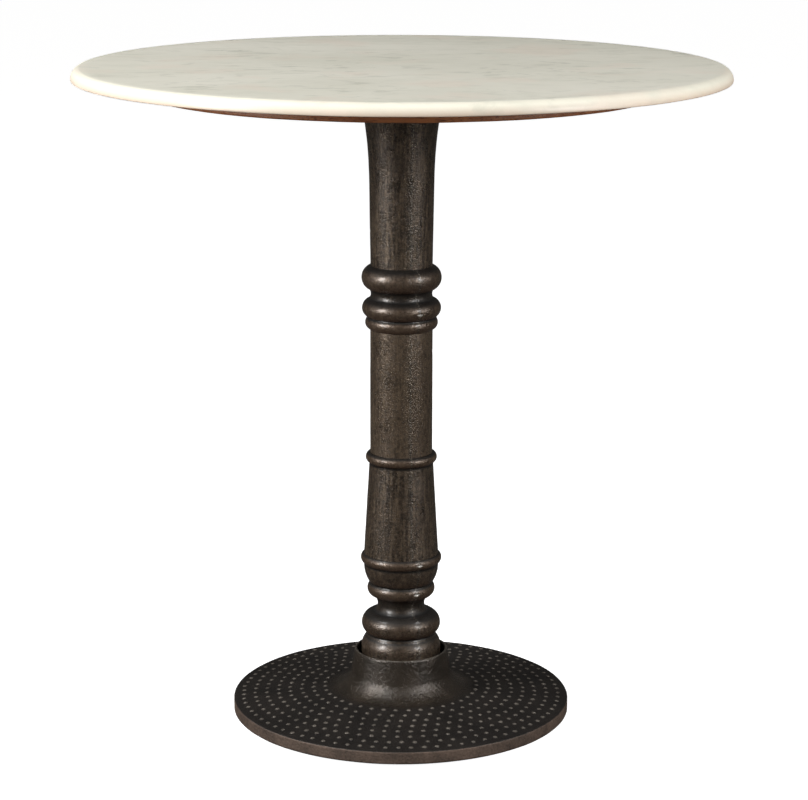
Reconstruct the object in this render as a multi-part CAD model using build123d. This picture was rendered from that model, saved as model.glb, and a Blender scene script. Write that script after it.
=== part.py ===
from build123d import *
import os
from math import cos, radians, sin

# A pedestal bistro table: a round marble slab bonded to a wooden disc, a stack of turned and cast iron
# column sections, and a round iron base, all pulled together by one steel tie rod on the axis.
# Millimetres, +Z up, the origin on the floor under the axis. Every turned piece is an outline of
# (radius, height) stretches spun about Z, and heights count up from the floor.

# Overall sizes
TABLE_HEIGHT = 762.0
TOP_RADIUS = 370.0
BASE_RADIUS = 197.5

# Marble slab and the wooden disc under it
MARBLE_THICKNESS = 13.5
MARBLE_EDGE_REACH = 10.0      # how far the rounded edge reaches in over the top face
MARBLE_EDGE_DROP = 12.0       # height of the rounded part of the edge
MARBLE_EASE = 1.2             # small rounding of the lower corner
BOND_GAP = 0.8                # silicone between marble and wood
DAB_RADIUS = 22.0
DAB_RINGS = ((110.0, 6), (230.0, 12))
WOOD_RADIUS = 291.5
WOOD_THICKNESS = 15.0
WOOD_EASE = 2.0
MARBLE_UNDER = TABLE_HEIGHT - MARBLE_THICKNESS
WOOD_TOP = MARBLE_UNDER - BOND_GAP
WOOD_UNDER = WOOD_TOP - WOOD_THICKNESS

# Mounting flange under the wood, with its screws
FLANGE_RADIUS = 120.0
FLANGE_THICKNESS = 7.0
FLANGE_UNDER = WOOD_UNDER - FLANGE_THICKNESS
SPIGOT_HEIGHT = 12.0          # every joint of the stack is a spigot this tall in a socket
FLANGE_SPIGOT_RADIUS = 30.0
SCREW_CIRCLE = 98.0
SCREW_COUNT = 6
SCREW_RADIUS = 2.4
SCREW_HEAD_RADIUS = 4.8
SCREW_HEAD_HEIGHT = 2.8
SCREW_LENGTH = 20.0

# Joint heights of the column stack
COLLAR_TOP = 534.0
COLLAR_FOOT = 460.0
UPPER_RING_TOP = 314.5
LOWER_RING_TOP = 193.0
DRUM_FOOT = 52.0
SHAFT_BORE = 26.0
SHAFT_SPIGOT = 31.8
TAPER_SPIGOT = 34.0
SPIGOT_PLAY = 0.2
SEAT_PLAY = 0.5               # the spigots stop short of their sockets' floors
SHAFT_FOOT_RADIUS = 35.6
MIDDLE_SHAFT_RADIUS = 35.95

# Tie rod (M12) with a washer and nut at each end
ROD_RADIUS = 6.0
ROD_HOLE = 6.8
WASHER_RADIUS = 12.0
WASHER_THICKNESS = 2.5
NUT_ACROSS_FLATS = 19.0
NUT_HEIGHT = 10.0
THIN_NUT_HEIGHT = 6.0
ROD_SHOW = 2.0                # rod beyond each nut
WOOD_POCKET_RADIUS = 16.0
WOOD_POCKET_DEPTH = 12.0

# Base casting: a shallow cone with a hollow underside, rising into the bell socket
FLOOR_GAP = 4.0               # the rim clears the floor by the height of the levelling feet
RIM_TOP = 18.6
RIM_WIDTH = 11.0
PLATE_SLOPE = 0.0893          # rise per unit of radius
WEB_THICKNESS = 9.0
BELL_LIP = 76.0
BELL_LIP_RADIUS = 55.0
BELL_MOUTH_RADIUS = 51.0
BELL_WALL_RADIUS = 58.5
BELL_WALL_FOOT = 47.0
BELL_FOOT_RADIUS = 80.0
SOCKET_FLOOR = DRUM_FOOT
SOCKET_FLOOR_THICKNESS = 8.0
DRUM_REGISTER_RADIUS = 36.0
DRUM_REGISTER_HEIGHT = 6.0

# Levelling feet (M8) screwed up into bosses under the plate
LEVELLER_CIRCLE = 165.0
LEVELLER_NAMES = ("right_rear", "left_rear", "left_front", "right_front")
LEVELLER_BOSS_RADIUS = 13.0
LEVELLER_STEM_RADIUS = 4.0
LEVELLER_PLAY = 0.05
LEVELLER_STEM_TOP = 16.0
LEVELLER_HOLE_TOP = 17.0
LEVELLER_FOOT_RADIUS = 12.0
LEVELLER_FOOT_HEIGHT = 3.6


def plate_height(radius):
    """Height of the plate's conical top at a radius."""
    return RIM_TOP + (BASE_RADIUS - radius) * PLATE_SLOPE


def turned(*stretches):
    """Solid of revolution about Z from stretches of a closed (radius, height) outline."""
    return revolve(Plane.XZ * make_face(Curve() + list(stretches)), Axis.Z, 360)


def tube(outer, inner, bottom, top):
    """Plain upright tube, or a disc where the inner radius is 0."""
    solid = Pos(0, 0, bottom) * Cylinder(outer, top - bottom, align=(Align.CENTER, Align.CENTER, Align.MIN))
    if inner:
        bore = Pos(0, 0, bottom) * Cylinder(inner, top - bottom, align=(Align.CENTER, Align.CENTER, Align.MIN))
        solid -= bore
    return solid


def around(radius, count, first=0.0):
    """Evenly spaced places on a circle about Z."""
    for index in range(count):
        angle = radians(first + 360.0 * index / count)
        yield Pos(radius * cos(angle), radius * sin(angle), 0)


def save(shape, name):
    export_step(shape, f"parts/{name}.step")


def marble_top():
    """The edge is an arc that leaves the top face at a slight angle and ends upright."""
    flat = TOP_RADIUS - MARBLE_EDGE_REACH
    edge_foot = TABLE_HEIGHT - MARBLE_EDGE_DROP
    ease_start = (TOP_RADIUS, MARBLE_UNDER + MARBLE_EASE)
    return turned(
        Line((0, TABLE_HEIGHT), (flat, TABLE_HEIGHT)),
        TangentArc((TOP_RADIUS, edge_foot), (flat, TABLE_HEIGHT), tangent=(0, 1)),
        Line((TOP_RADIUS, edge_foot), ease_start),
        RadiusArc(ease_start, (TOP_RADIUS - MARBLE_EASE, MARBLE_UNDER), MARBLE_EASE),
        Line((TOP_RADIUS - MARBLE_EASE, MARBLE_UNDER), (0, MARBLE_UNDER)),
        Line((0, MARBLE_UNDER), (0, TABLE_HEIGHT)),
    )


def silicone_dabs():
    dab = tube(DAB_RADIUS, 0, WOOD_TOP, MARBLE_UNDER)
    return Compound([place * dab for radius, count in DAB_RINGS for place in around(radius, count)])


def wood_subtop():
    disc = tube(WOOD_RADIUS, 0, WOOD_UNDER, WOOD_TOP)
    disc = fillet(disc.edges().filter_by(GeomType.CIRCLE), WOOD_EASE)
    disc -= tube(WOOD_POCKET_RADIUS, 0, WOOD_UNDER, WOOD_UNDER + WOOD_POCKET_DEPTH)
    pilot = tube(SCREW_RADIUS, 0, WOOD_UNDER, FLANGE_UNDER + SCREW_LENGTH)
    return disc - [place * pilot for place in around(SCREW_CIRCLE, SCREW_COUNT, 30)]


def mounting_flange():
    disc = tube(FLANGE_RADIUS, 0, FLANGE_UNDER, WOOD_UNDER)
    disc = fillet(disc.edges().group_by(Axis.Z)[0], FLANGE_THICKNESS / 2)
    disc += tube(FLANGE_SPIGOT_RADIUS, 0, FLANGE_UNDER - SPIGOT_HEIGHT, FLANGE_UNDER)
    disc -= tube(ROD_HOLE, 0, FLANGE_UNDER - SPIGOT_HEIGHT, WOOD_UNDER)
    hole = tube(SCREW_RADIUS + 0.4, 0, FLANGE_UNDER, WOOD_UNDER)
    return disc - [place * hole for place in around(SCREW_CIRCLE, SCREW_COUNT, 30)]


def flange_screws():
    """Pan-head wood screws, driven up through the flange."""
    shank = tube(SCREW_RADIUS, 0, FLANGE_UNDER, FLANGE_UNDER + SCREW_LENGTH)
    head = tube(SCREW_HEAD_RADIUS, 0, FLANGE_UNDER - SCREW_HEAD_HEIGHT, FLANGE_UNDER)
    head = fillet(head.edges().group_by(Axis.Z)[0], SCREW_HEAD_HEIGHT * 0.6)
    slot = Pos(0, 0, FLANGE_UNDER - SCREW_HEAD_HEIGHT) * Box(2 * SCREW_HEAD_RADIUS, 1.2, 2.4)
    screw = shank + head - slot
    return Compound([place * screw for place in around(SCREW_CIRCLE, SCREW_COUNT, 30)])


def upper_shaft():
    """Slightly tapered shaft that flares out to the head under the flange."""
    neck = (37.1, 633.0)
    head = (47.0, FLANGE_UNDER)
    side = Line((SHAFT_FOOT_RADIUS, COLLAR_TOP), neck)
    spigot_foot = COLLAR_TOP - SPIGOT_HEIGHT
    register = FLANGE_SPIGOT_RADIUS + SPIGOT_PLAY
    register_foot = FLANGE_UNDER - SPIGOT_HEIGHT - SEAT_PLAY
    return turned(
        side,
        TangentArc(neck, head, tangent=side % 1),
        Polyline(
            head,
            (register, FLANGE_UNDER),
            (register, register_foot),
            (SHAFT_BORE, register_foot),
            (SHAFT_BORE, spigot_foot),
            (SHAFT_SPIGOT, spigot_foot),
            (SHAFT_SPIGOT, COLLAR_TOP),
            (SHAFT_FOOT_RADIUS, COLLAR_TOP),
        ),
    )


def double_ring_collar():
    """Collar of two bold rings with a cove between them, and a bead at its foot."""
    crown = (36.6, COLLAR_TOP)
    upper_foot = (36.8, 506.3)
    lower_crown = (36.8, 495.6)
    lower_foot = (38.8, 474.3)
    foot = (36.4, COLLAR_FOOT)
    socket = SHAFT_SPIGOT + SPIGOT_PLAY
    socket_foot = COLLAR_TOP - SPIGOT_HEIGHT - SEAT_PLAY
    spigot_foot = COLLAR_FOOT - SPIGOT_HEIGHT
    return turned(
        ThreePointArc(crown, (46.0, 520.8), upper_foot),
        ThreePointArc(upper_foot, (35.2, 501.0), lower_crown),
        ThreePointArc(lower_crown, (45.5, 484.8), lower_foot),
        ThreePointArc(lower_foot, (41.9, 467.0), foot),
        Polyline(
            foot,
            (SHAFT_SPIGOT, COLLAR_FOOT),
            (SHAFT_SPIGOT, spigot_foot),
            (SHAFT_BORE, spigot_foot),
            (SHAFT_BORE, socket_foot),
            (socket, socket_foot),
            (socket, COLLAR_TOP),
            crown,
        ),
    )


def middle_shaft():
    """Plain cylinder between the collar and the upper ring."""
    socket = SHAFT_SPIGOT + SPIGOT_PLAY
    socket_foot = COLLAR_FOOT - SPIGOT_HEIGHT - SEAT_PLAY
    shaft = tube(MIDDLE_SHAFT_RADIUS, SHAFT_BORE, UPPER_RING_TOP, COLLAR_FOOT)
    shaft += tube(SHAFT_SPIGOT, SHAFT_BORE, UPPER_RING_TOP - SPIGOT_HEIGHT, UPPER_RING_TOP)
    return shaft - tube(socket, 0, socket_foot, COLLAR_FOOT)


def tapered_shaft():
    """Shaft that widens downwards, with a half-round ring at its top."""
    crown = (37.2, UPPER_RING_TOP)
    ring_foot = (37.0, UPPER_RING_TOP - 12.0)
    foot = (43.4, LOWER_RING_TOP)
    socket = SHAFT_SPIGOT + SPIGOT_PLAY
    socket_foot = UPPER_RING_TOP - SPIGOT_HEIGHT - SEAT_PLAY
    spigot_foot = LOWER_RING_TOP - SPIGOT_HEIGHT
    return turned(
        ThreePointArc(crown, (41.4, UPPER_RING_TOP - 6.0), ring_foot),
        Line(ring_foot, foot),
        Polyline(
            foot,
            (TAPER_SPIGOT, LOWER_RING_TOP),
            (TAPER_SPIGOT, spigot_foot),
            (SHAFT_BORE, spigot_foot),
            (SHAFT_BORE, socket_foot),
            (socket, socket_foot),
            (socket, UPPER_RING_TOP),
            crown,
        ),
    )


def lower_baluster():
    """Turned foot of the column: ring, cup, bead, waist, bold ring and the drum that enters the socket."""
    crown = (44.0, LOWER_RING_TOP)
    ring_foot = (43.4, 181.0)
    cup_foot = (36.4, 157.0)
    bead_foot = (34.5, 141.5)
    bulb_crown = (32.0, 121.5)
    bulb_foot = (39.6, 95.8)
    step = (41.0, 94.4)
    step_foot = (41.0, 92.4)
    drum_side = (46.4, 79.0)
    drum_foot = (46.4, DRUM_FOOT)
    socket = TAPER_SPIGOT + SPIGOT_PLAY
    socket_foot = LOWER_RING_TOP - SPIGOT_HEIGHT - SEAT_PLAY
    waist_bore = 16.0
    cup_bore_foot = 162.0
    drum_bore = DRUM_REGISTER_RADIUS + SPIGOT_PLAY
    drum_bore_top = 84.0
    return turned(
        ThreePointArc(crown, (47.2, 187.0), ring_foot),
        ThreePointArc(ring_foot, (41.8, 167.5), cup_foot),
        ThreePointArc(cup_foot, (39.5, 148.8), bead_foot),
        ThreePointArc(bead_foot, (27.6, 133.0), bulb_crown),
        ThreePointArc(bulb_crown, (46.2, 108.5), bulb_foot),
        Polyline(bulb_foot, step, step_foot),
        ThreePointArc(step_foot, (44.9, 86.5), drum_side),
        Polyline(
            drum_side,
            drum_foot,
            (drum_bore, DRUM_FOOT),
            (drum_bore, drum_bore_top),
            (waist_bore, drum_bore_top + 14.0),
            (waist_bore, cup_bore_foot - 8.0),
            (SHAFT_BORE, cup_bore_foot),
            (SHAFT_BORE, socket_foot),
            (socket, socket_foot),
            (socket, LOWER_RING_TOP),
            crown,
        ),
    )


def base_body():
    """The base casting without its bosses: rim, conical plate, bell and the socket's floor."""
    rim_edge = (BASE_RADIUS, RIM_TOP - 1.5)
    plate_edge = (BASE_RADIUS - 1.5, plate_height(BASE_RADIUS - 1.5))
    bell_foot = (BELL_FOOT_RADIUS, plate_height(BELL_FOOT_RADIUS))
    wall_foot = (BELL_WALL_RADIUS, BELL_WALL_FOOT)
    lip_outer = (BELL_LIP_RADIUS, BELL_LIP - 1.5)
    lip_inner = (BELL_MOUTH_RADIUS, BELL_LIP - 2.0)
    lip_crest = ((BELL_LIP_RADIUS + BELL_MOUTH_RADIUS) / 2, BELL_LIP)
    plate = Line(plate_edge, bell_foot)
    rim_inner = BASE_RADIUS - RIM_WIDTH
    hollow_radius = 48.0
    hollow_shoulder = 62.0
    floor_under = SOCKET_FLOOR - SOCKET_FLOOR_THICKNESS
    return turned(
        Line((BASE_RADIUS, FLOOR_GAP), rim_edge),
        RadiusArc(rim_edge, plate_edge, -1.6),
        plate,
        TangentArc(bell_foot, wall_foot, tangent=plate % 1),
        Line(wall_foot, lip_outer),
        ThreePointArc(lip_outer, lip_crest, lip_inner),
        Polyline(
            lip_inner,
            (BELL_MOUTH_RADIUS, SOCKET_FLOOR),
            (DRUM_REGISTER_RADIUS, SOCKET_FLOOR),
            (DRUM_REGISTER_RADIUS, SOCKET_FLOOR + DRUM_REGISTER_HEIGHT),
            (ROD_HOLE, SOCKET_FLOOR + DRUM_REGISTER_HEIGHT),
            (ROD_HOLE, floor_under),
            (hollow_radius, floor_under),
            (hollow_shoulder, plate_height(hollow_shoulder) - WEB_THICKNESS),
            (rim_inner, plate_height(rim_inner) - WEB_THICKNESS),
            (rim_inner, FLOOR_GAP),
            (BASE_RADIUS, FLOOR_GAP),
        ),
    )


def base_casting():
    body = base_body()
    hole = tube(LEVELLER_STEM_RADIUS + LEVELLER_PLAY, 0, FLOOR_GAP, LEVELLER_HOLE_TOP)
    boss = tube(LEVELLER_BOSS_RADIUS, 0, FLOOR_GAP, LEVELLER_HOLE_TOP)
    body += [place * boss for place in around(LEVELLER_CIRCLE, len(LEVELLER_NAMES), 45)]
    body -= [place * hole for place in around(LEVELLER_CIRCLE, len(LEVELLER_NAMES), 45)]
    return body


def washer(bottom):
    return tube(WASHER_RADIUS, ROD_RADIUS + 0.5, bottom, bottom + WASHER_THICKNESS)


def hex_nut(bottom, height):
    """Hexagonal nut with its corners turned down at both faces."""
    corner = NUT_ACROSS_FLATS / 2 / cos(radians(30))
    prism = extrude(Pos(0, 0, bottom) * RegularPolygon(corner, 6), height)
    blank = chamfer(tube(corner, 0, bottom, bottom + height).edges().filter_by(GeomType.CIRCLE), 0.8, 1.3)
    return (prism & blank) - tube(ROD_RADIUS + 0.02, 0, bottom, bottom + height)


def tie_rod(bottom, top):
    rod = tube(ROD_RADIUS, 0, bottom, top)
    return chamfer(rod.edges().filter_by(GeomType.CIRCLE), 1.0)


def leveller_stem():
    """Threaded stem of a levelling foot, in its fully screwed-in place on the axis."""
    stem = tube(LEVELLER_STEM_RADIUS, 0, LEVELLER_FOOT_HEIGHT, LEVELLER_STEM_TOP)
    return chamfer(stem.edges().group_by(Axis.Z)[-1], 0.8)


def leveller_foot():
    """Moulded glide of a levelling foot, with a rounded lower rim."""
    foot = tube(LEVELLER_FOOT_RADIUS, 0, 0, LEVELLER_FOOT_HEIGHT)
    return fillet(foot.edges().group_by(Axis.Z)[0], 1.0)


def main():
    os.makedirs("parts", exist_ok=True)
    save(marble_top(), "marble_top")
    save(silicone_dabs(), "silicone_dabs")
    save(wood_subtop(), "wood_subtop")
    save(mounting_flange(), "mounting_flange")
    save(flange_screws(), "flange_screws")
    save(upper_shaft(), "upper_shaft")
    save(double_ring_collar(), "double_ring_collar")
    save(middle_shaft(), "middle_shaft")
    save(tapered_shaft(), "tapered_shaft")
    save(lower_baluster(), "lower_baluster")
    save(base_casting(), "base_casting")

    head_nut_foot = WOOD_UNDER + WASHER_THICKNESS
    foot_washer_foot = SOCKET_FLOOR - SOCKET_FLOOR_THICKNESS - WASHER_THICKNESS
    foot_nut_foot = foot_washer_foot - NUT_HEIGHT
    save(washer(WOOD_UNDER), "head_washer")
    save(hex_nut(head_nut_foot, THIN_NUT_HEIGHT), "head_nut")
    save(washer(foot_washer_foot), "foot_washer")
    save(hex_nut(foot_nut_foot, NUT_HEIGHT), "foot_nut")
    save(tie_rod(foot_nut_foot - ROD_SHOW, head_nut_foot + THIN_NUT_HEIGHT + ROD_SHOW), "tie_rod")

    places = around(LEVELLER_CIRCLE, len(LEVELLER_NAMES), 45)
    for place, name in zip(places, LEVELLER_NAMES):
        save(place * leveller_stem(), f"leveller_stem_{name}")
        save(place * leveller_foot(), f"leveller_foot_{name}")


main()
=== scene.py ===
import itertools
import random
from math import atan2, cos, hypot, pi, radians, sin

import bmesh
import bpy
import numpy as np
from mathutils import Matrix, Vector
from mathutils.geometry import delaunay_2d_cdt


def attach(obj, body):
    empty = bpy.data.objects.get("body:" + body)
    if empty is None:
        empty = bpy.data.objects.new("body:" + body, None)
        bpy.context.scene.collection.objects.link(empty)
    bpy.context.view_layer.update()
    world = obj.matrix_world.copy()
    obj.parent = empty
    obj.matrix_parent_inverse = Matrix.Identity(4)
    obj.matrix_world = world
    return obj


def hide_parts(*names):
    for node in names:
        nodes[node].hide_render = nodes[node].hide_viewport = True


# A bistro table: a round marble top bonded to a wooden disc, on a stack of cast-iron column pieces that one
# tie rod pulls down on a studded round iron base. The sections follow the table as it is put together, from
# the floor up. Sizes are in millimetres unless a comment says otherwise.

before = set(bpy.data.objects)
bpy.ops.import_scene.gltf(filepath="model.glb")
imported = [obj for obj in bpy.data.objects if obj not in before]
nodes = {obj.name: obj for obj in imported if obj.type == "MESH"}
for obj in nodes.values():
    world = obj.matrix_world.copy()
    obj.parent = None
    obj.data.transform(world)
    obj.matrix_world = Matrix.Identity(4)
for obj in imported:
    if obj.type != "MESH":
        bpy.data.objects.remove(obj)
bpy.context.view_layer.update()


# --------------------------------------------------------------------------------------------------------
# Levelling feet: four M8 steel stems, zinc plated, each moulded into a black nylon glide. They screw up into
# the bosses under the base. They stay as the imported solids, with threaded stems and grained glides.
FOOT_NAMES = ("right_rear", "left_rear", "left_front", "right_front")


def paint(red, green, blue):
    """A colour as it is mixed on a screen, 0 to 255, turned into the shader's linear values."""
    shares = (red / 255, green / 255, blue / 255)
    return tuple(s / 12.92 if s <= 0.04045 else ((s + 0.055) / 1.055) ** 2.4 for s in shares) + (1.0,)


class Level:
    """A number that varies over a surface. Plain sums on it add the material's Math nodes."""

    def __init__(self, finish, socket):
        self.finish = finish
        self.socket = socket

    def sum(self, operation, first, second, clamp=False):
        """Adds one Math node."""
        settings = {"operation": operation, "use_clamp": clamp}
        return self.finish.node("ShaderNodeMath", settings, {0: first, 1: second})

    def __add__(self, other):
        return self.sum("ADD", self, other)

    def __radd__(self, other):
        return self.sum("ADD", other, self)

    def __sub__(self, other):
        return self.sum("SUBTRACT", self, other)

    def __rsub__(self, other):
        return self.sum("SUBTRACT", other, self)

    def __mul__(self, other):
        return self.sum("MULTIPLY", self, other)

    def __rmul__(self, other):
        return self.sum("MULTIPLY", other, self)

    def __pow__(self, other):
        return self.sum("POWER", self, other)

    def held(self):
        """The same number, kept between 0 and 1."""
        return self.sum("ADD", self, 0.0, clamp=True)


class Finish:
    """A material being mixed. Every node comes from its node method, those of plain sums through Level."""

    def __init__(self, name):
        self.material = bpy.data.materials.new(name)
        self.material.use_nodes = True
        self.tree = self.material.node_tree
        self.tree.nodes.clear()
        self.place = self.node("ShaderNodeTexCoord", {}, {}, "Object")

    def node(self, kind, settings, values, output=0):
        """Adds a node, sets it, fills its sockets with numbers or links, and gives one output back."""
        made = self.tree.nodes.new(kind)
        for name, setting in settings.items():
            setattr(made, name, setting)
        for name, value in values.items():
            if isinstance(value, Level):
                self.tree.links.new(value.socket, made.inputs[name])
            else:
                made.inputs[name].default_value = value
        return Level(self, made.outputs[output]) if made.outputs else None

    def stretched(self, x, y, z):
        """The place on the surface, scaled along each axis. A texture runs out along the smallest."""
        return self.node("ShaderNodeVectorMath", {"operation": "MULTIPLY"}, {0: self.place, 1: (x, y, z)})

    def clouds(self, size, detail=3.0, place=None, roughness=0.55, spread=1.0):
        """Smooth noise whose lumps are about this many millimetres across, pushed apart by spread."""
        values = {"Vector": place or self.place, "Scale": 1000.0 / size, "Detail": detail,
                  "Roughness": roughness}
        noise = self.node("ShaderNodeTexNoise", {}, values)
        return noise if spread == 1.0 else ((noise - 0.5) * spread + 0.5).held()

    def mark(self, name):
        """A number kept at each point of the mesh, such as how proud it stands."""
        return self.node("ShaderNodeAttribute", {"attribute_name": name}, {}, "Fac")

    def mixed(self, mask, under, over):
        """One colour laid over another where the mask says so, through the node's colour sockets."""
        return self.node("ShaderNodeMix", {"data_type": "RGBA"}, {0: mask, 6: under, 7: over}, 2)

    def bumped(self, height, depth_mm, under=None):
        """A surface normal from a height between 0 and 1 that stands depth_mm tall."""
        values = {"Height": height, "Distance": depth_mm / 1000.0}
        if under is not None:
            values["Normal"] = under
        return self.node("ShaderNodeBump", {}, values)

    def shaded(self, values):
        """Closes the material with a Principled shader and gives the material back."""
        shader = self.node("ShaderNodeBsdfPrincipled", {}, values)
        self.node("ShaderNodeOutputMaterial", {}, {"Surface": shader})
        return self.material


def dress(node, material):
    """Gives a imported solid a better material."""
    packed = nodes[node]
    packed.data.materials.clear()
    packed.data.materials.append(material)
    for face in packed.data.polygons:
        face.material_index = 0


def plated_steel(name, pitch=0.0):
    """Bright zinc plating with a faint yellow cast, and a thread of that pitch where there is one."""
    steel = Finish(name)
    mottle = steel.clouds(9.0, 4.0, spread=1.6)
    scuffs = steel.clouds(1.4, 5.0, spread=2.2)
    colour = steel.mixed(mottle, paint(176, 172, 158), paint(205, 203, 196))
    colour = steel.mixed(scuffs * 0.35, colour, paint(118, 112, 98))
    normal = steel.bumped(scuffs, 0.04)
    if pitch:
        settings = {"wave_type": "BANDS", "bands_direction": "Z", "wave_profile": "SIN"}
        band = 2 * pi / 20.0      # how long one band of a Wave node is before it is scaled
        values = {"Vector": steel.place, "Scale": 1000.0 / pitch * band}
        thread = steel.node("ShaderNodeTexWave", settings, values, 1)
        normal = steel.bumped(thread, 0.5, normal)
        # The thread's grooves are painted darker: painted shade in the grooves.
        colour = steel.mixed((1 - thread) * 0.5, colour, paint(92, 88, 78))
    roughness = 0.26 + scuffs * 0.2
    return steel.shaded({"Base Color": colour, "Metallic": 0.95, "Roughness": roughness, "Normal": normal})


threaded_steel = plated_steel("threaded_steel", pitch=1.25)

nylon = Finish("glide_nylon")
nylon_grain = nylon.clouds(0.5, 3.0, spread=1.5)
nylon_scuff = nylon.clouds(5.0, 5.0, spread=2.5)
glide_nylon = nylon.shaded({
    "Base Color": nylon.mixed(nylon_scuff * 0.5, paint(24, 24, 25), paint(58, 57, 55)),
    "Roughness": 0.48 + nylon_scuff * 0.2,
    "Normal": nylon.bumped(nylon_grain, 0.06),
})

for foot_name in FOOT_NAMES:
    dress("leveller_stem_" + foot_name, threaded_steel)
    dress("leveller_foot_" + foot_name, glide_nylon)


# --------------------------------------------------------------------------------------------------------
# Base casting: one sand casting in grey iron, a shallow cone with rings of small round studs, rising into a
# bell whose mouth holds the column's drum. Blackened and oiled, with the studs rubbed back a little.
BASE_RADIUS = 197.5
RIM_TOP = 18.6
RIM_FOOT = 4.0
RIM_INNER_RADIUS = 186.5
PLATE_SLOPE = 0.0893
PLATE_THICKNESS = 9.0
PLATE_EDGE_RADIUS = 196.0
BELL_FOOT_RADIUS = 80.0
SOCKET_RADIUS = 51.0
SOCKET_FLOOR = 52.0
LIP_HEIGHT = 75.8
NUT_POCKET_ROOF = 44.0
ROD_HOLE = 6.8
BOSS_RADIUS = 13.0
BOSS_BORE = 4.05
BOSS_TOP = 14.5
BOSS_SIDES = 48
STUD_RINGS = 8
FIRST_STUD_RING = 89.5
STUD_PITCH = 13.8
STUD_SPACING = 14.6
STUD_RADIUS = 2.6
STUD_HEIGHT = 1.2
STUD_SIDES = 12
STUD_FOOT = 1.42      # where a stud's foot ends, as a share of its radius
STUD_STEPS = (0.35, 0.62, 0.82, 0.95, 1.12, STUD_FOOT)
STUD_SEED = 41
SHEET_SEED = 12
BASE_SIDES = 384
BASE_SEAM = radians(-62.0)
BOSS_CIRCLE = 165.0
MM = 0.001


def plate_height(radius):
    """Height of the plate's conical top at a radius."""
    return RIM_TOP + (BASE_RADIUS - radius) * PLATE_SLOPE


def straight(start, end, step):
    """Points of a straight stretch of an outline, without its last one."""
    count = max(1, round(hypot(end[0] - start[0], end[1] - start[1]) / step))
    shares = [i / count for i in range(count)]
    return [(start[0] + (end[0] - start[0]) * s, start[1] + (end[1] - start[1]) * s) for s in shares]


def arc(start, middle, end, step):
    """Points of the arc through three points, without its last one."""
    (ax, ay), (bx, by), (cx, cy) = start, middle, end
    a2 = ax * ax + ay * ay
    b2 = bx * bx + by * by
    c2 = cx * cx + cy * cy
    twice = 2 * (ax * (by - cy) + bx * (cy - ay) + cx * (ay - by))
    hub_x = (a2 * (by - cy) + b2 * (cy - ay) + c2 * (ay - by)) / twice
    hub_y = (a2 * (cx - bx) + b2 * (ax - cx) + c2 * (bx - ax)) / twice
    radius = hypot(ax - hub_x, ay - hub_y)
    first = atan2(ay - hub_y, ax - hub_x)
    half = (atan2(by - hub_y, bx - hub_x) - first) % (2 * pi)
    turn = (atan2(cy - hub_y, cx - hub_x) - first) % (2 * pi)
    if half > turn:
        turn -= 2 * pi
    count = max(2, round(abs(turn) * radius / step))
    angles = [first + turn * i / count for i in range(count)]
    return [(hub_x + radius * cos(t), hub_y + radius * sin(t)) for t in angles]


def sweep(start, heading, end, step):
    """Points of the arc that leaves start along a heading and ends at end, without its last one."""
    chord = Vector((end[0] - start[0], end[1] - start[1]))
    along = Vector(heading).normalized()
    across = Vector((-along.y, along.x))
    radius = chord.length_squared / (2 * chord.dot(across))
    hub = Vector(start) + across * radius
    outward = (Vector(start) + chord * 0.5 - hub).normalized()
    middle = hub + outward * abs(radius)
    return arc(start, tuple(middle), end, step)


def softened(points, passes):
    """The outline with its corners rounded off, as a mould leaves them. Its ends stay."""
    line = np.array(points, float)
    for _ in range(passes):
        line[1:-1] = line[1:-1] * 0.5 + (line[:-2] + line[2:]) * 0.25
    return [tuple(point) for point in line]


def spun(outline, sides, closed):
    """Places and faces of an outline spun about the axis. It runs down the outside and up the inside."""
    rings = np.array(outline, float)
    turn = np.arange(sides) * 2 * pi / sides
    x = rings[:, :1] * np.cos(turn)
    y = rings[:, :1] * np.sin(turn)
    z = rings[:, 1:] + 0 * turn
    places = np.stack([x, y, z], -1).reshape(-1, 3)
    index = np.arange(len(places)).reshape(len(rings), sides)
    below = np.roll(index, -1, axis=0)
    if not closed:
        index, below = index[:-1], below[:-1]
    faces = np.stack([index, below, np.roll(below, -1, axis=1), np.roll(index, -1, axis=1)], -1)
    return places, faces.reshape(-1, 4)


def lumps(places, size, seed):
    """Smooth lumps between -1 and 1, about that many millimetres across, at each place."""
    spot = places / np.array(size, float) + 0.37 * seed
    cell = np.floor(spot).astype(np.int64)
    share = spot - cell
    share = share * share * (3.0 - 2.0 * share)
    total = np.zeros(len(places))
    for corner in itertools.product((0, 1), repeat=3):
        key = (cell + corner) @ np.array((73856093, 19349663, 83492791)) + seed * 6151
        key = ((key ^ (key >> 13)) * 1274126177) & 0xFFFFFFFF
        value = ((key ^ (key >> 15)) & 0xFFFF) / 32767.5 - 1.0
        total += value * np.prod(np.where(corner, share, 1.0 - share), axis=1)
    return total


def seam(places, seam_angle):
    """Distance in millimetres along the surface from the nearer of the two lines where the moulds met."""
    radius = np.hypot(places[:, 0], places[:, 1])
    angle = np.arctan2(places[:, 1], places[:, 0]) - seam_angle
    return np.abs((angle + pi / 2) % pi - pi / 2) * radius


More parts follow.
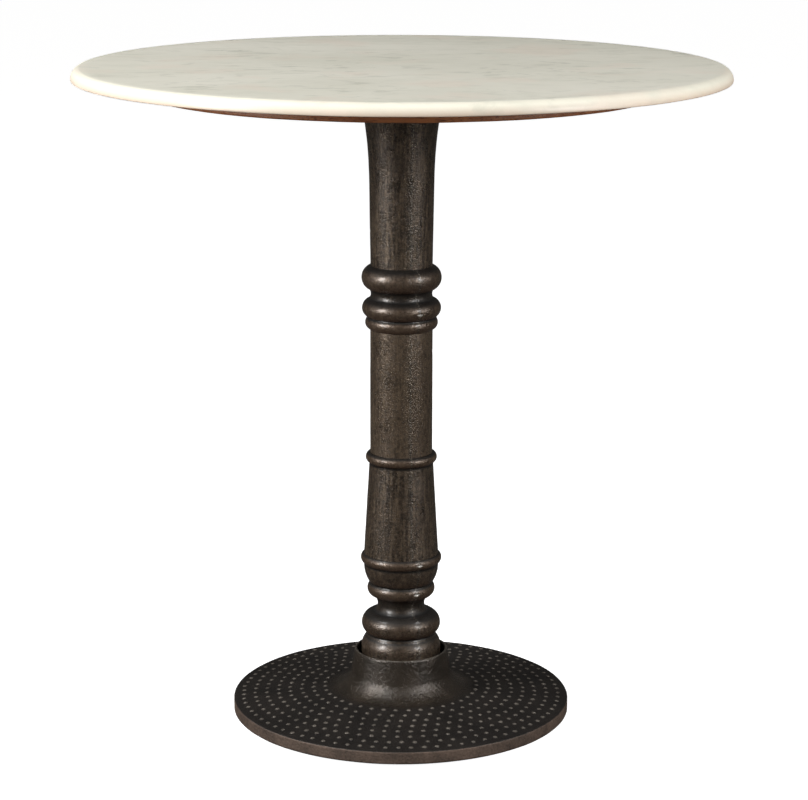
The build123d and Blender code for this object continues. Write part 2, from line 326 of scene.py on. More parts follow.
def moulded(name, places, faces, material, body, replaced, slot, relief=None, **marks):
    """Makes a piece from places in millimetres, raises its relief along its normals, and fixes it to its
    body. Marks are numbers kept at each place for the material, such as how proud it stands."""
    mesh = bpy.data.meshes.new(name)
    mesh.from_pydata((np.asarray(places) * MM).tolist(), [], faces)
    for mark, values in marks.items():
        mesh.attributes.new(mark, "FLOAT", "POINT").data.foreach_set("value", values.astype(np.float32))
    shape = bmesh.new()
    shape.from_mesh(mesh)
    bmesh.ops.remove_doubles(shape, verts=shape.verts, dist=0.01 * MM)
    shape.to_mesh(mesh)
    shape.free()
    if relief:
        flat = np.empty(len(mesh.vertices) * 3)
        mesh.vertices.foreach_get("co", flat)
        normals = np.empty(len(mesh.vertices) * 3)
        mesh.vertex_normals.foreach_get("vector", normals)
        flat = flat.reshape(-1, 3)
        flat += normals.reshape(-1, 3) * relief(flat / MM)[:, None] * MM
        mesh.vertices.foreach_set("co", flat.reshape(-1))
    mesh.update()
    mesh.shade_smooth()
    mesh.set_sharp_from_angle(angle=radians(50))
    mesh.materials.append(material)
    piece = bpy.data.objects.new(name, mesh)
    bpy.context.scene.collection.objects.link(piece)
    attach(piece, body)
    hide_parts(*replaced)
    return piece


def stud_places():
    """Centre, radius and height of every stud, each a little off true, as a worn pattern leaves them."""
    chance = random.Random(STUD_SEED)
    wander = 0.25
    unevenness = 0.14
    for ring in range(STUD_RINGS):
        circle = FIRST_STUD_RING + STUD_PITCH * ring
        count = round(2 * pi * circle / STUD_SPACING)
        first = chance.uniform(0, 2 * pi)
        for k in range(count):
            angle = first + 2 * pi * k / count + chance.gauss(0, wander) / circle
            out = circle + chance.gauss(0, wander)
            radius = STUD_RADIUS + chance.gauss(0, unevenness)
            height = STUD_HEIGHT + chance.gauss(0, unevenness)
            yield out * cos(angle), out * sin(angle), radius, height


def stud_profile(distance, radius):
    """Height of a stud at a distance from its centre, as a share of its full height."""
    share = distance / radius
    dome = np.sqrt(np.clip(1.0 - share * share, 0.0, 1.0)) * 0.92
    foot = np.clip((STUD_FOOT - share) / 0.6, 0.0, 1.0) ** 2 * 0.16
    return np.maximum(dome, foot)


def studded_plate():
    """The coned top face between the bell's foot and the rim, with its studs, as one sheet of triangles."""
    turn = np.arange(BASE_SIDES) * 2 * pi / BASE_SIDES
    border = [(r * cos(t), r * sin(t)) for r in (BELL_FOOT_RADIUS, PLATE_EDGE_RADIUS) for t in turn]
    studs = np.array(list(stud_places()))
    flat = list(border)
    crest = [0.0] * len(border)
    rise = [0.0] * len(border)
    for x, y, radius, height in studs:
        rings = [(0.0, 1)] + [(step * radius, STUD_SIDES) for step in STUD_STEPS]
        for number, (reach, sides) in enumerate(rings):
            share = float(stud_profile(np.array(reach), radius))
            for k in range(sides):
                angle = 2 * pi * (k + 0.5 * (number % 2)) / sides
                flat.append((x + reach * cos(angle), y + reach * sin(angle)))
                crest.append(share)
                rise.append(share * height)
    chance = random.Random(SHEET_SEED)
    ring_step = 2.4
    point_spacing = 2.6
    margin = 1.5
    gap_round_studs = 1.1
    circle = BELL_FOOT_RADIUS + ring_step
    while circle < PLATE_EDGE_RADIUS - margin:
        count = round(2 * pi * circle / point_spacing)
        first = chance.uniform(0, 1)
        angles = (np.arange(count) + first) * 2 * pi / count
        ring = np.stack([circle * np.cos(angles), circle * np.sin(angles)], -1)
        nearest = np.sqrt(((ring[:, None] - studs[None, :, :2]) ** 2).sum(-1)).min(1)
        kept = ring[nearest > STUD_RADIUS * STUD_FOOT + gap_round_studs]
        flat.extend(map(tuple, kept))
        crest.extend([0.0] * len(kept))
        rise.extend([0.0] * len(kept))
        circle += ring_step
    found = delaunay_2d_cdt([Vector(point) for point in flat], [], [], 0, 1e-4)
    source = [origins[0] for origins in found[3]]
    places = []
    for point, origin in zip(found[0], source):
        places.append((point.x, point.y, plate_height(point.length) + rise[origin]))
    inner = set(range(BASE_SIDES))
    faces = [face for face in found[2] if not inner.issuperset(source[corner] for corner in face)]
    return places, faces, [crest[origin] for origin in source]


def base_outline():
    """The rest of the casting: up the bell, down the socket, under the plate and round the rim."""
    bell_foot = (BELL_FOOT_RADIUS, plate_height(BELL_FOOT_RADIUS))
    wall_foot = (58.5, 47.0)
    lip_outer = (55.0, 74.5)
    lip_inner = (SOCKET_RADIUS, 74.0)
    step_radius = 36.0
    pocket_edge = (62.0, plate_height(62.0) - PLATE_THICKNESS)
    web_edge = (RIM_INNER_RADIUS, plate_height(RIM_INNER_RADIUS) - PLATE_THICKNESS)
    plate_edge = (PLATE_EDGE_RADIUS, plate_height(PLATE_EDGE_RADIUS))
    skin = sweep(bell_foot, (-1.0, PLATE_SLOPE), wall_foot, 1.1)
    skin += straight(wall_foot, lip_outer, 1.1)
    skin += arc(lip_outer, (53.0, 76.0), lip_inner, 0.7)
    skin = softened(skin, 2)
    skin += straight(lip_inner, (SOCKET_RADIUS, SOCKET_FLOOR), 3.0)
    skin += straight((SOCKET_RADIUS, SOCKET_FLOOR), (step_radius, SOCKET_FLOOR), 5.0)
    skin += [(step_radius, SOCKET_FLOOR), (step_radius, 58.0), (ROD_HOLE, 58.0)]
    skin += [(ROD_HOLE, NUT_POCKET_ROOF), (48.0, NUT_POCKET_ROOF), pocket_edge]
    skin += straight(pocket_edge, web_edge, 11.0)[1:]
    skin += [web_edge, (RIM_INNER_RADIUS, RIM_FOOT + 0.8), (187.3, RIM_FOOT)]
    skin += [(196.6, RIM_FOOT), (BASE_RADIUS, RIM_FOOT + 0.9)]
    skin += straight((BASE_RADIUS, RIM_FOOT + 0.9), (BASE_RADIUS, 16.9), 1.6)[1:]
    skin += [(BASE_RADIUS, 16.9), (197.35, 17.7), (196.85, 18.35), plate_edge]
    return skin[::-1]


def blackened_iron():
    """Oiled black over brown iron: darkest on the plate, browner on the bell and rim, grey on worn studs."""
    iron = Finish("blackened_iron")
    crest = iron.mark("crest")
    rim = iron.mark("rim")
    bell = iron.mark("bell")
    patches = iron.clouds(34.0, 4.0, spread=2.2)
    grain = iron.clouds(2.4, 6.0, spread=2.2)
    grit = iron.clouds(0.9, 3.0, spread=2.0)
    pebbled = iron.clouds(3.4, 3.0, spread=2.4)
    colour = iron.mixed(patches, paint(22, 20, 19), paint(38, 33, 29))
    colour = iron.mixed(bell, colour, iron.mixed(patches, paint(44, 40, 34), paint(72, 63, 54)))
    colour = iron.mixed(grain * 0.4, colour, paint(46, 41, 37))
    mottled = (0.6 + (patches - 0.5) * 0.5 + (grain - 0.5) * 0.45 + (pebbled - 0.5) * 0.2).held()
    colour = iron.mixed(rim * mottled, colour, paint(118, 99, 86))
    rubbed = (crest * 1.6 - 0.1 + (grain - 0.5) * 0.5).held() * (crest * 6.0).held()
    colour = iron.mixed(rubbed * (0.5 + patches * 0.5), colour, paint(134, 127, 118))
    roughness = 0.52 - rubbed * 0.16 + (patches - 0.5) * 0.1 + rim * 0.12 - bell * 0.33
    normal = iron.bumped(pebbled * bell, 0.26, iron.bumped(grain, 0.28))
    normal = iron.bumped(grit, 0.17, normal)
    return iron.shaded({
        "Base Color": colour,
        "Metallic": 0.5,
        "Roughness": roughness,
        "Specular IOR Level": 0.7,
        "Normal": normal,
    })


def base_relief(places):
    """Sand-cast unevenness, stronger on the bell, with the ragged seam running down it."""
    radius = np.hypot(places[:, 0], places[:, 1])
    bell = np.clip((86.0 - radius) / 12.0, 0.0, 1.0)
    offset = 0.16 * lumps(places, 26.0, 3)
    offset += (0.04 + 0.05 * bell) * lumps(places, 4.0, 5)
    offset += (0.02 + 0.08 * bell) * lumps(places, 2.5, 8)
    ragged = 0.5 + 0.5 * lumps(places, (9.0, 9.0, 5.0), 9)
    offset += bell * 0.28 * ragged * np.exp(-((seam(places, BASE_SEAM) / 0.9) ** 2))
    return offset


cast_iron = blackened_iron()
plate_places, plate_faces, plate_crest = studded_plate()
shell_places, shell_faces = spun(base_outline(), BASE_SIDES, closed=False)
boss_outline = [(BOSS_BORE, BOSS_TOP), (BOSS_RADIUS, BOSS_TOP), (BOSS_RADIUS, RIM_FOOT + 0.6)]
boss_outline += [(12.4, RIM_FOOT), (4.6, RIM_FOOT), (BOSS_BORE, RIM_FOOT + 0.5)]
boss_places, boss_faces = spun(boss_outline, BOSS_SIDES, closed=True)
base_places = [np.array(plate_places), shell_places]
base_faces = [list(face) for face in plate_faces]
base_faces += (shell_faces + len(plate_places)).tolist()
taken = len(plate_places) + len(shell_places)
for quarter in range(4):
    angle = radians(45 + 90 * quarter)
    base_places.append(boss_places + (BOSS_CIRCLE * cos(angle), BOSS_CIRCLE * sin(angle), 0.0))
    base_faces += (boss_faces + taken).tolist()
    taken += len(boss_places)
base_places = np.concatenate(base_places)
base_radius = np.hypot(base_places[:, 0], base_places[:, 1])
near_lip = (base_radius > 50) * (base_radius < 60)
on_lip = np.exp(-(((base_places[:, 2] - LIP_HEIGHT) / 0.5) ** 2)) * near_lip
on_rim = (base_radius > 197.0) * 1.0
on_bell = np.clip((88.0 - base_radius) / 14.0, 0.0, 1.0)
base_crest = on_lip * 0.4
base_crest[: len(plate_places)] = plate_crest
moulded("base_plate_and_bell", base_places, base_faces, cast_iron, "table", ["base_casting"], "cast_iron",
        base_relief, crest=base_crest, rim=on_rim, bell=on_bell)


# --------------------------------------------------------------------------------------------------------
# Column castings: five hollow iron pieces, turned on a lathe over the cast skin and brushed, then stained a
# dark bronze brown and waxed. Each stands on a spigot in the one below, and the seam of the mould shows down
# all five, a little right of the front.
COLUMN_SIDES = 288
STEP = 0.9
BORE = 26.0
BALUSTER_TOP = 193.0
TAPERED_TOP = 314.5
MIDDLE_TOP = 460.0
COLLAR_TOP = 534.0
COLUMN_TOP = 725.7
SHAFT_SEAM = radians(-73.0)
RINGS_SEAM = radians(-62.0)


def bronzed_iron(name, brushed, worn=0.0):
    """Dark bronze-brown stain over iron, with cast grain, upright brush marks, rubbed crests and a thin wax,
    plus painted shade in the hollows and on the ledges, painted bounce light underneath and painted glints
    at chips.
    Brushed says how strong the brush marks are, and worn how far the stain has been rubbed thin."""
    iron = Finish(name)
    crest = iron.mark("crest")
    facing_up = iron.mark("facing_up")
    mould_line = iron.mark("mould_line")
    nick = iron.mark("nick")
    scar = iron.mark("scar")
    patches = iron.clouds(24.0, 5.0, spread=2.8)
    tint = iron.clouds(40.0, 3.0, place=iron.stretched(1.0, 1.0, 0.6), spread=2.6)
    grain = iron.clouds(2.4, 6.0, spread=2.4)
    salt = iron.clouds(1.5, 4.0, spread=3.2)
    mottle = iron.clouds(4.2, 5.0, roughness=0.65, spread=3.4)
    grit = iron.clouds(0.8, 3.0, spread=2.4)
    upright = iron.clouds(2.6, 5.0, place=iron.stretched(1.0, 1.0, 0.055), spread=2.6)
    fine_upright = iron.clouds(0.8, 3.0, place=iron.stretched(1.0, 1.0, 0.03), spread=2.2)
    colour = iron.mixed(patches, paint(39, 33, 26), paint(69, 57, 45))
    colour = iron.mixed(worn * (0.5 + patches * 0.5), colour, paint(132, 112, 90))
    colour = iron.mixed(tint * 0.5, colour, paint(66, 51, 41))
    colour = iron.mixed((upright * 1.6 - 0.6).held() * (0.75 * brushed), colour, paint(124, 107, 88))
    colour = iron.mixed((fine_upright * 2.0 - 1.1).held() * (0.6 * brushed), colour, paint(20, 17, 14))
    colour = iron.mixed(((grain - 0.32) * 1.5).held() * 0.75, colour, paint(24, 21, 17))
    colour = iron.mixed((salt * 1.6 - 0.9).held() * (0.45 + scar * 0.4), colour, paint(134, 122, 106))
    colour = iron.mixed((mottle * 1.5 - 0.8).held() * 0.42, colour, paint(122, 104, 84))
    colour = iron.mixed((0.7 - mottle * 1.5).held() * 0.7, colour, paint(18, 15, 12))
    rubbed = (crest * 0.9 + (grain - 0.5) * 0.6).held()
    colour = iron.mixed(rubbed * 0.45, colour, paint(110, 88, 70))
    # Faces that look down are painted a warm red-brown: painted bounce light from below.
    under = (0 - facing_up - 0.25).held()
    colour = iron.mixed(under * 0.5, colour, paint(92, 58, 44))
    # Hollows are painted darker: painted shade in the coves, with some grime.
    grime_and_hollow_shade = ((0 - crest) * 1.3 + (patches - 0.5) * 0.4).held()
    colour = iron.mixed(grime_and_hollow_shade * 0.9, colour, paint(22, 18, 14))
    # Faces that look up are painted near black: painted shade and a painted dark reflection on the ledges,
    # which are also made rougher.
    ledge_shade = ((facing_up - 0.34) * 2.6).held()
    colour = iron.mixed(ledge_shade * 0.9, colour, paint(14, 12, 10))
    colour = iron.mixed(mould_line * (0.25 + grain * 0.6), colour, paint(18, 15, 13))
    colour = iron.mixed((mould_line * (grit * 3.0 - 1.8).held()).held(), colour, paint(176, 166, 150))
    # Chips are painted near white: partly bare iron, partly a painted glint.
    bare = ((nick - 0.4) * 2.6 + (salt - 0.5) * 1.4 * nick).held()
    colour = iron.mixed(bare, colour, paint(236, 232, 224))
    roughness = 0.33 + (grain - 0.5) * 0.2 + (patches - 0.5) * 0.1 + ledge_shade * 0.25 + grime_and_hollow_shade * 0.08
    roughness = roughness - nick * 0.08
    normal = iron.bumped(grain, 0.17)
    normal = iron.bumped(salt * (0.4 + scar * 0.6), 0.2, normal)
    normal = iron.bumped(grit, 0.07, normal)
    normal = iron.bumped(fine_upright, 0.05 * brushed + 0.005, normal)
    return iron.shaded({
        "Base Color": colour,
        "Metallic": 0.5,
        "Roughness": roughness.held(),
        "Specular IOR Level": 0.7,
        "Coat Weight": 0.42 - 0.25 * brushed,
        "Coat Roughness": 0.2,
        "Normal": normal,
    })


def nick_mark(places, distance, height):
    """A small bare chip on the front seam at a height: 1 in its middle, and 0 a few millimetres away."""
    in_front = places[:, 1] < 0
    reach = 4.6
    rise = 1.6
    return np.exp(-((distance / reach) ** 2) - ((places[:, 2] - height) / rise) ** 2) * in_front


def column_relief(filed, seam_angle, nicks):
    """Relief of one column casting: lumps, pits, upright file marks and the seam, ground off in places."""
    def relief(places):
        outside = np.hypot(places[:, 0], places[:, 1]) > BORE + 0.5
        offset = 0.14 * lumps(places, 24.0, 11) + 0.06 * lumps(places, 7.0, 12)
        offset += 0.018 * lumps(places, 2.3, 13)
        offset += filed * 0.05 * lumps(places, (2.4, 2.4, 42.0), 14)
        pits = np.clip(lumps(places, 4.2, 15) - 0.62, 0.0, 1.0)
        offset -= 0.7 * pits
        ragged = np.clip(0.45 + 0.75 * lumps(places, (14.0, 14.0, 4.5), 16), 0.0, 1.0)
        distance = seam(places, seam_angle)
        offset += 0.30 * ragged * np.exp(-((distance / 0.8) ** 2))
        offset += 0.09 * lumps(places, 2.6, 18) * np.exp(-((distance / 7.0) ** 2))
        ground = np.clip(lumps(places, (9.0, 9.0, 7.0), 17) - 0.1, 0.0, 1.0)
        offset -= 0.5 * ground * np.exp(-((distance / 2.2) ** 2))
        for height in nicks:
            offset -= 0.6 * nick_mark(places, distance, height)
        return offset * outside
    return relief


def crest_of(skin):
    """How proud each point of an outline stands: above 0 on a ridge, below 0 in a hollow."""
    line = np.array(skin)
    ahead = np.roll(line, -3, axis=0) - line
    behind = line - np.roll(line, 3, axis=0)
    turning = behind[:, 0] * ahead[:, 1] - behind[:, 1] * ahead[:, 0]
    turning /= np.linalg.norm(ahead, axis=1) * np.linalg.norm(behind, axis=1) + 1e-9
    turning[:3] = turning[3]
    turning[-3:] = turning[-4]
    return np.clip(-turning * 2.2, -1.0, 1.0)


def facing_up_of(skin):
    """How far each point of an outline faces up, from -1 straight down to 1 straight up."""
    line = np.array(skin)
    along = np.gradient(line, axis=0)
    return along[:, 0] / (np.linalg.norm(along, axis=1) + 1e-9)


def column_piece(name, skin, core, finish, filed, seam_angle, nicks=()):
    """One column casting from its visible outline, top to bottom, and the hidden points that close it."""
    skin = softened(skin, 2)
    places, faces = spun(skin + core, COLUMN_SIDES, closed=True)
    crest = np.repeat(np.concatenate([crest_of(skin), np.zeros(len(core))]), COLUMN_SIDES)
    facing_up = np.repeat(np.concatenate([facing_up_of(skin), np.zeros(len(core))]), COLUMN_SIDES)
    distance = seam(places, seam_angle)
    chipped = sum((nick_mark(places, distance, height) for height in nicks), np.zeros(len(places)))
    return moulded(name + "_casting", places, faces.tolist(), finish, "table", [name], "column_iron",
                   column_relief(filed, seam_angle, nicks), crest=crest, facing_up=facing_up,
                   nick=chipped, mould_line=np.exp(-((distance / 1.3) ** 2)),
                   scar=np.exp(-((distance / 7.0) ** 2)))


turned_iron = bronzed_iron("turned_iron", 0.35)
brushed_iron = bronzed_iron("brushed_iron", 1.0)
worn_iron = bronzed_iron("worn_iron", 1.0, worn=0.6)

# Lower baluster: ring, cup, bead, waist, bold ring and the drum that stands in the bell.
baluster = arc((44.0, BALUSTER_TOP), (47.2, 187.0), (43.4, 181.0), STEP)
baluster += arc((43.4, 181.0), (41.8, 167.5), (36.4, 157.0), STEP)
baluster += arc((36.4, 157.0), (39.5, 148.8), (34.5, 141.5), STEP)
baluster += arc((34.5, 141.5), (27.6, 133.0), (32.0, 121.5), STEP)
baluster += arc((32.0, 121.5), (46.2, 108.5), (39.6, 95.8), STEP)
baluster += straight((39.6, 95.8), (41.0, 94.4), STEP)
baluster += straight((41.0, 94.4), (41.0, 92.4), STEP)
baluster += arc((41.0, 92.4), (44.9, 86.5), (46.4, 79.0), STEP)
baluster += straight((46.4, 79.0), (46.4, SOCKET_FLOOR), STEP)
baluster += [(46.4, SOCKET_FLOOR)]
baluster_core = [(36.2, SOCKET_FLOOR), (36.2, 84.0), (16.0, 98.0), (16.0, 154.0), (BORE, 162.0)]
baluster_core += [(BORE, 180.5), (34.2, 180.5), (34.2, BALUSTER_TOP)]
column_piece("lower_baluster", baluster, baluster_core, turned_iron, 0.2, RINGS_SEAM, nicks=(187.3, 150.2))

# Tapered shaft: widens downwards, with a half-round ring at its top.
tapered = arc((37.2, TAPERED_TOP), (41.4, 308.5), (37.0, 302.5), STEP)
tapered += straight((37.0, 302.5), (43.4, BALUSTER_TOP), STEP)
tapered += [(43.4, BALUSTER_TOP)]
tapered_core = [(34.0, BALUSTER_TOP), (34.0, 181.0), (BORE, 181.0)]
tapered_core += [(BORE, 302.0), (32.0, 302.0), (32.0, TAPERED_TOP)]
column_piece("tapered_shaft", tapered, tapered_core, brushed_iron, 1.0, SHAFT_SEAM)

# Middle shaft: a plain cylinder.
middle = straight((35.95, MIDDLE_TOP), (35.95, TAPERED_TOP), STEP)
middle += [(35.95, TAPERED_TOP)]
middle_core = [(31.8, TAPERED_TOP), (31.8, 302.5), (BORE, 302.5)]
middle_core += [(BORE, 447.5), (32.0, 447.5), (32.0, MIDDLE_TOP)]
column_piece("middle_shaft", middle, middle_core, worn_iron, 1.0, SHAFT_SEAM)

# Collar: two bold rings with a cove between them, and a bead at its foot.
collar = arc((36.6, COLLAR_TOP), (46.0, 520.8), (36.8, 506.3), STEP)
collar += arc((36.8, 506.3), (35.2, 501.0), (36.8, 495.6), STEP)
collar += arc((36.8, 495.6), (45.5, 484.8), (38.8, 474.3), STEP)
collar += arc((38.8, 474.3), (41.9, 467.0), (36.4, MIDDLE_TOP), STEP)
collar += [(36.4, MIDDLE_TOP)]
collar_core = [(31.8, MIDDLE_TOP), (31.8, 448.0), (BORE, 448.0)]
collar_core += [(BORE, 521.5), (32.0, 521.5), (32.0, COLLAR_TOP)]
column_piece("double_ring_collar", collar, collar_core, turned_iron, 0.2, RINGS_SEAM, nicks=(483.0,))

# Upper shaft: nearly straight, flaring out to the head under the flange.
upper = sweep((37.1, 633.0), (1.5, 99.0), (47.0, COLUMN_TOP), STEP)
upper = [(47.0, COLUMN_TOP)] + upper[:0:-1]
upper += straight((37.1, 633.0), (35.6, COLLAR_TOP), STEP)
upper += [(35.6, COLLAR_TOP)]
upper_core = [(31.8, COLLAR_TOP), (31.8, 522.0), (BORE, 522.0)]
upper_core += [(BORE, 713.2), (30.2, 713.2), (30.2, COLUMN_TOP)]
column_piece("upper_shaft", upper, upper_core, brushed_iron, 1.0, SHAFT_SEAM)


# --------------------------------------------------------------------------------------------------------
# Mounting flange: a thin round plate in the same black cast iron as the base. It seats on the column's head
# and is screwed up into the wooden disc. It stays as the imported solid.
dress("mounting_flange", cast_iron)


# --------------------------------------------------------------------------------------------------------
# Tie rod, nuts, washers and screws: zinc-plated steel. The rod runs down the axis from a pocket in the wood
# to the hollow under the base, and its nuts pull the whole stack together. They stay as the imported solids.
steel_hardware = plated_steel("steel_hardware")
dress("tie_rod", plated_steel("threaded_rod_steel", pitch=1.75))
for hardware in ("flange_screws", "head_washer", "head_nut", "foot_washer", "foot_nut"):
    dress(hardware, steel_hardware)


# --------------------------------------------------------------------------------------------------------
# Wooden disc: a glued hardwood panel cut round, eased along both edges, stained dark red brown and
# lacquered. A pocket in its underside holds the tie rod's upper nut.
WOOD_RADIUS = 291.5
WOOD_TOP = 747.7
WOOD_UNDER = 732.7
WOOD_FLAT_RADIUS = 289.5
NUT_POCKET_RADIUS = 16.0
NUT_POCKET_DEPTH = 12.0
WOOD_SIDES = 512


def stained_wood():
    """Red-brown stain over straight grain, darker in the pores, under a thin lacquer."""
    wood = Finish("stained_wood")
    drift = wood.clouds(60.0, 3.0, spread=1.6)
    rings = wood.clouds(7.0, 4.0, place=wood.stretched(0.05, 1.0, 1.0), spread=2.4)
    pores = wood.clouds(1.1, 3.0, place=wood.stretched(0.04, 1.0, 1.0), spread=3.0)
    colour = wood.mixed(drift, paint(164, 98, 56), paint(192, 124, 78))
    colour = wood.mixed(rings * 0.55, colour, paint(122, 66, 36))
    colour = wood.mixed((pores * 1.6 - 0.9).held(), colour, paint(54, 28, 16))
    normal = wood.bumped(pores, 0.08)
    return wood.shaded({
        "Base Color": colour,
        "Roughness": 0.42 + rings * 0.14,
        "Coat Weight": 0.25,
        "Coat Roughness": 0.2,
        "Normal": normal,
    })


def wood_relief(places):
    """The edge is sanded by hand, so it waves a little."""
    return 0.10 * lumps(places, 30.0, 21) + 0.03 * lumps(places, (40.0, 3.0, 3.0), 22)


wood_outline = [(0.0, WOOD_TOP)] + straight((12.0, WOOD_TOP), (WOOD_FLAT_RADIUS, WOOD_TOP), 14.0)
wood_outline += arc((WOOD_FLAT_RADIUS, WOOD_TOP), (290.91, 747.11), (WOOD_RADIUS, 745.7), 0.5)
wood_outline += straight((WOOD_RADIUS, 745.7), (WOOD_RADIUS, 734.7), 1.2)
wood_outline += arc((WOOD_RADIUS, 734.7), (290.91, 733.29), (WOOD_FLAT_RADIUS, WOOD_UNDER), 0.5)
wood_outline += straight((WOOD_FLAT_RADIUS, WOOD_UNDER), (NUT_POCKET_RADIUS, WOOD_UNDER), 6.0)
wood_outline += [(NUT_POCKET_RADIUS, WOOD_UNDER), (NUT_POCKET_RADIUS, WOOD_UNDER + NUT_POCKET_DEPTH)]
wood_outline += [(0.0, WOOD_UNDER + NUT_POCKET_DEPTH)]
wood_places, wood_faces = spun(wood_outline, WOOD_SIDES, closed=False)
moulded("wooden_disc", wood_places, wood_faces.tolist(), stained_wood(), "table", ["wood_subtop"],
        "stained_wood", wood_relief)


# --------------------------------------------------------------------------------------------------------
# Silicone dabs: clear sealant, squeezed flat between the wood and the marble, where it cures and holds the
# slab down by itself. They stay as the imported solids.
sealant = Finish("cured_silicone")
sealant_waves = sealant.clouds(6.0, 2.0)
cured_silicone = sealant.shaded({
    "Base Color": sealant.mixed(sealant_waves, paint(196, 194, 186), paint(214, 213, 206)),
    "Roughness": 0.34 + sealant_waves * 0.12,
    "Normal": sealant.bumped(sealant_waves, 0.3),
})
dress("silicone_dabs", cured_silicone)


# --------------------------------------------------------------------------------------------------------
# Marble top: one round slab of white marble, sawn and honed, its upper edge rounded over and polished, its
# lower corner just eased. Faint grey-green and pinkish clouds run through the stone, with fine darker veins.
TOP_RADIUS = 370.0
TOP_HEIGHT = 762.0
TOP_UNDER = 748.5
EDGE_REACH = 10.0
EDGE_DROP = 12.0
EDGE_EASE = 1.2
TOP_SIDES = 640
EDGE_BEGINS = 0.3598      # metres from the axis
# Below this height the edge has painted shade.
EDGE_SHADE_TOP = 0.7585     # metres above the floor


def white_marble():
    """Warm white stone with drifting clouds. The flat face is painted a little greyer as painted shade, the
    rounded edge whiter as painted light, and the edge's lower part darker and warmer as painted shade.
    """
    marble = Finish("white_marble")
    bent = marble.node("ShaderNodeVectorMath", {"operation": "MULTIPLY_ADD"}, {
        0: marble.node("ShaderNodeTexNoise", {}, {"Vector": marble.place, "Scale": 9.0, "Detail": 3.0}, 1),
        1: (0.05, 0.05, 0.05),
        2: marble.stretched(0.6, 1.0, 1.0),
    })
    x, y, z = (marble.node("ShaderNodeSeparateXYZ", {}, {0: marble.place}, axis) for axis in range(3))
    radius = (x * x + y * y) ** 0.5
    edge = ((radius - EDGE_BEGINS) * 900.0).held()
    # The lower part of the edge is painted darker and warmer: painted shade, warmed as if lit from the wood
    # below.
    low = ((EDGE_SHADE_TOP - z) * 110.0).held()
    drift = marble.clouds(150.0, 4.0, place=bent, spread=2.4)
    patches = marble.clouds(30.0, 5.0, place=bent, roughness=0.6, spread=2.8)
    veins = marble.clouds(17.0, 4.0, place=bent, spread=3.2)
    crystals = marble.clouds(1.2, 2.0, spread=2.0)
    blush = marble.clouds(110.0, 3.0, spread=3.2)
    gathered = marble.clouds(130.0, 2.0, spread=4.0)
    # The edge is painted whiter as painted light, and the flat face greyer as painted shade.
    top = marble.mixed(drift, paint(226, 224, 208), paint(242, 239, 225))
    side = marble.mixed(low * 0.85, paint(236, 232, 215), paint(196, 172, 150))
    colour = marble.mixed(edge, top, side)
    colour = marble.mixed((patches * 1.6 - 0.8).held() * 0.32, colour, paint(202, 202, 186))
    vein = (veins * 2.4 - 1.6).held() * gathered
    # Veins are fainter on the edge, where painted light washes them out.
    colour = marble.mixed(vein * (0.55 - edge * 0.3), colour, paint(164, 165, 147))
    colour = marble.mixed((blush * 2.0 - 1.2).held() * 0.4, colour, paint(240, 222, 205))
    colour = marble.mixed(crystals * 0.08, colour, paint(255, 255, 250))
    return marble.shaded({
        "Base Color": colour,
        "Roughness": 0.34 + patches * 0.08,
        "Specular IOR Level": 0.4,
        "Normal": marble.bumped(crystals, 0.012),
    })


def marble_relief(places):
    """Hand-held polishing leaves the rounded edge very slightly uneven."""
    edge = np.clip((np.hypot(places[:, 0], places[:, 1]) - 359.0) / 6.0, 0.0, 1.0)
    return edge * (0.12 * lumps(places, 30.0, 31) + 0.03 * lumps(places, 8.0, 32))


flat_radius = TOP_RADIUS - EDGE_REACH
edge_foot = (TOP_RADIUS, TOP_HEIGHT - EDGE_DROP)
slab = [(0.0, TOP_HEIGHT)] + straight((8.0, TOP_HEIGHT), (flat_radius, TOP_HEIGHT), 11.0)
rounded = sweep(edge_foot, (0.0, 1.0), (flat_radius, TOP_HEIGHT), 0.8)
slab += [(flat_radius, TOP_HEIGHT)] + rounded[::-1]
slab += [(TOP_RADIUS, TOP_UNDER + EDGE_EASE)]
eased_foot = (TOP_RADIUS - EDGE_EASE, TOP_UNDER)
slab += arc((TOP_RADIUS, TOP_UNDER + EDGE_EASE), (369.65, 748.85), eased_foot, 0.4)[1:]
slab += straight(eased_foot, (8.0, TOP_UNDER), 11.0)
slab += [(0.0, TOP_UNDER)]
slab_places, slab_faces = spun(slab, TOP_SIDES, closed=False)
moulded("marble_slab", slab_places, slab_faces.tolist(), white_marble(), "table", ["marble_top"], "marble",
        marble_relief)


# --------------------------------------------------------------------------------------------------------
# Studio: a white floor that runs back to a white dome, a tall soft lamp low at each side with a small one
# above it, and two weak fills from behind and below. The floor and dome show to the camera only, so the iron
# mirrors dark surroundings and keeps its dark edges.
FLOOR_REACH = 60.0          # metres
DOME_RADIUS = 54000.0
DOME_SIDES = 96
DOME_RINGS = 24
LAMP_DISTANCE = 2.6         # metres, as are the lamps' widths and heights
FILL_WIDTH = 1.6


def studio_white(name, glow, own, one_sided):
    """Plain white that partly glows, so that only a faint contact shadow is left on it. One-sided white is
    clear from behind, and a floor made of it leaves the table's underside in view from below."""
    white = Finish(name)
    lit = white.node("ShaderNodeBsdfPrincipled", {}, {
        "Base Color": (own, own, own, 1.0),
        "Roughness": 1.0,
        "Specular IOR Level": 0.0,
        "Emission Color": (1.0, 1.0, 1.0, 1.0),
        "Emission Strength": glow,
    })
    clear = white.node("ShaderNodeBsdfTransparent", {}, {})
    behind = white.node("ShaderNodeNewGeometry", {}, {}, "Backfacing") * one_sided
    shown = white.node("ShaderNodeMixShader", {}, {0: behind, 1: lit, 2: clear})
    white.node("ShaderNodeOutputMaterial", {}, {"Surface": shown})
    return white.material


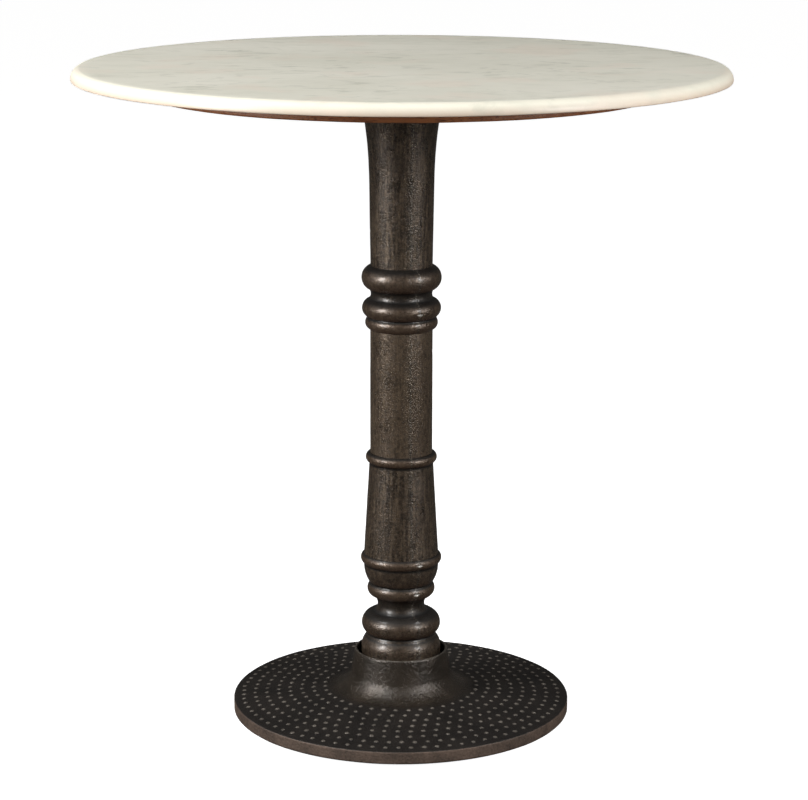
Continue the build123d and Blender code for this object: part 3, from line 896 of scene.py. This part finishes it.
def studio_piece(name, corners, faces, material):
    """A piece of the surroundings, which lights nothing and shows in no reflection."""
    mesh = bpy.data.meshes.new(name)
    mesh.from_pydata(corners, [], faces)
    mesh.materials.append(material)
    piece = bpy.data.objects.new(name, mesh)
    bpy.context.scene.collection.objects.link(piece)
    piece.visible_glossy = False
    piece.visible_diffuse = False
    return piece


floor_corners = [(-FLOOR_REACH, -FLOOR_REACH, 0), (FLOOR_REACH, -FLOOR_REACH, 0),
                 (FLOOR_REACH, FLOOR_REACH, 0), (-FLOOR_REACH, FLOOR_REACH, 0)]
floor = studio_piece("studio_floor", floor_corners, [(0, 1, 2, 3)],
                     studio_white("floor_white", 0.96, 0.5, 1.0))
floor.visible_shadow = False

slopes = [pi / 2 * i / DOME_RINGS for i in range(DOME_RINGS + 1)]
dome_outline = [(DOME_RADIUS * cos(slope), DOME_RADIUS * sin(slope)) for slope in slopes]
dome_places, dome_faces = spun(dome_outline, DOME_SIDES, closed=False)
dome = studio_piece("studio_dome", (dome_places * MM).tolist(), dome_faces.tolist(),
                    studio_white("dome_white", 1.0, 0.0, 0.0))
dome.visible_shadow = False


def lamp(name, azimuth, elevation, width, height, power):
    """A soft lamp that faces the table's middle. Its azimuth is in degrees to the right of the front."""
    middle = Vector((0.0, 0.0, 0.45))
    azimuth = radians(azimuth)
    elevation = radians(elevation)
    out = Vector((sin(azimuth) * cos(elevation), -cos(azimuth) * cos(elevation), sin(elevation)))
    data = bpy.data.lights.new(name, "AREA")
    data.shape = "RECTANGLE"
    data.size = width
    data.size_y = height
    data.energy = power
    held = bpy.data.objects.new(name, data)
    held.location = middle + out * LAMP_DISTANCE
    held.rotation_euler = out.to_track_quat("Z", "Y").to_euler()
    bpy.context.scene.collection.objects.link(held)
    return held


lamp("left_lamp", -60.0, 19.0, 0.8, 1.2, 76.0)
lamp("right_lamp", 54.0, 19.0, 0.6, 1.1, 50.0)
lamp("left_high_lamp", -78.0, 50.0, 0.5, 0.5, 21.0)
lamp("right_high_lamp", 74.0, 50.0, 0.4, 0.4, 11.0)
back_fill = lamp("back_fill", 180.0, 25.0, FILL_WIDTH, FILL_WIDTH, 8.0)
back_fill.visible_glossy = False
floor_bounce = lamp("floor_bounce", 0.0, -60.0, FILL_WIDTH, FILL_WIDTH, 4.0)
floor_bounce.visible_glossy = False

surroundings = bpy.data.worlds.new("dim_room")
surroundings.use_nodes = True
surroundings.node_tree.nodes["Background"].inputs["Color"].default_value = (0.06, 0.058, 0.055, 1.0)
bpy.context.scene.world = surroundings

CAMERA_PLACE = (0.0, -2.9275, 1.0652)      # metres
TILT = radians(90.0 - 13.26)
YAW = radians(-0.06)
ROLL = radians(0.12)
camera_data = bpy.data.cameras.new("table_camera")
camera_data.lens = 115.9
camera_data.sensor_width = 36.0
camera_data.clip_end = 200.0
camera = bpy.data.objects.new("table_camera", camera_data)
camera.matrix_world = (Matrix.Translation(CAMERA_PLACE) @ Matrix.Rotation(YAW, 4, "Z")
                       @ Matrix.Rotation(TILT, 4, "X") @ Matrix.Rotation(ROLL, 4, "Z"))
bpy.context.scene.collection.objects.link(camera)
bpy.context.scene.camera = camera
bpy.context.scene.view_settings.view_transform = "Standard"
